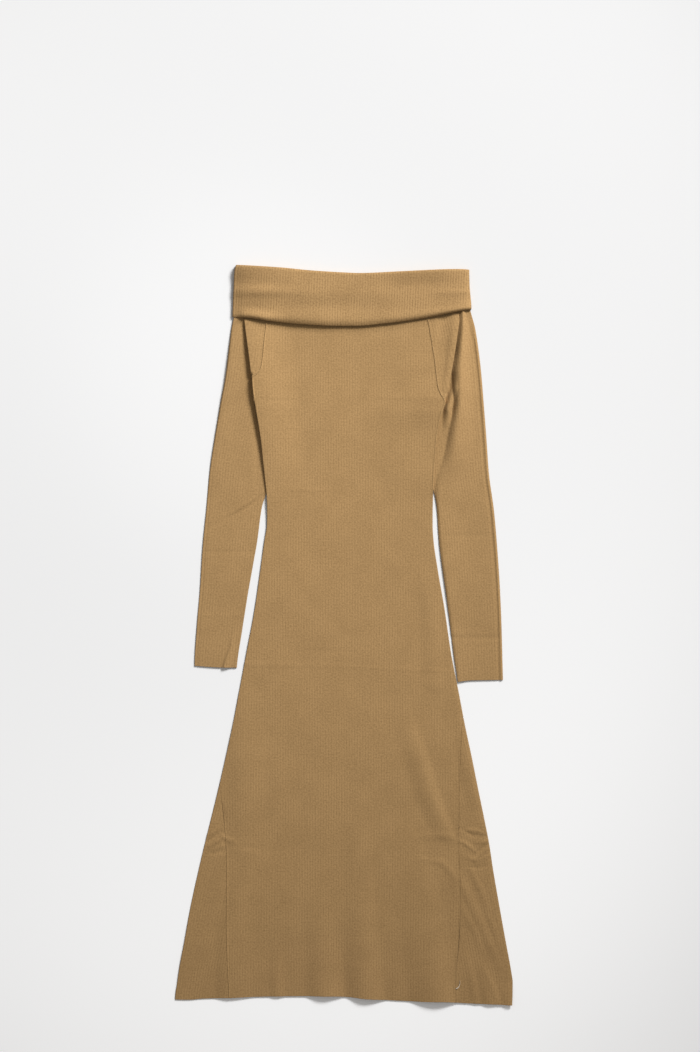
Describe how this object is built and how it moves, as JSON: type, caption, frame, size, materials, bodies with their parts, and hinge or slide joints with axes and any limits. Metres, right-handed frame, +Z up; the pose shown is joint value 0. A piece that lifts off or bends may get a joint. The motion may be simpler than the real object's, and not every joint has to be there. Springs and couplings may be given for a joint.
{
  "type": "sweater dress",
  "caption": "Long off-the-shoulder dress in fine rib knit, with a fold-over collar, long raglan sleeves and a flared skirt, laid flat on its back.",
  "frame": {"origin": "middle of the bottom of the box around the dress as it lies flat, on the surface that it lies on", "axes": "+Y along the dress from hem to collar, +X to the viewer's right looking down on the front, +Z up out of the surface"},
  "size_m": [0.5699, 1.2499, 0.0127],
  "materials": {
    "rib_knit": "fine matt rib knit, camel brown"
  },
  "bodies": {
    "root": {"collar": "rib_knit", "front": "rib_knit", "back": "rib_knit", "sleeve_left": "rib_knit", "sleeve_right": "rib_knit", "gore_left": "rib_knit", "gore_right": "rib_knit"}
  },
  "joints": []
}
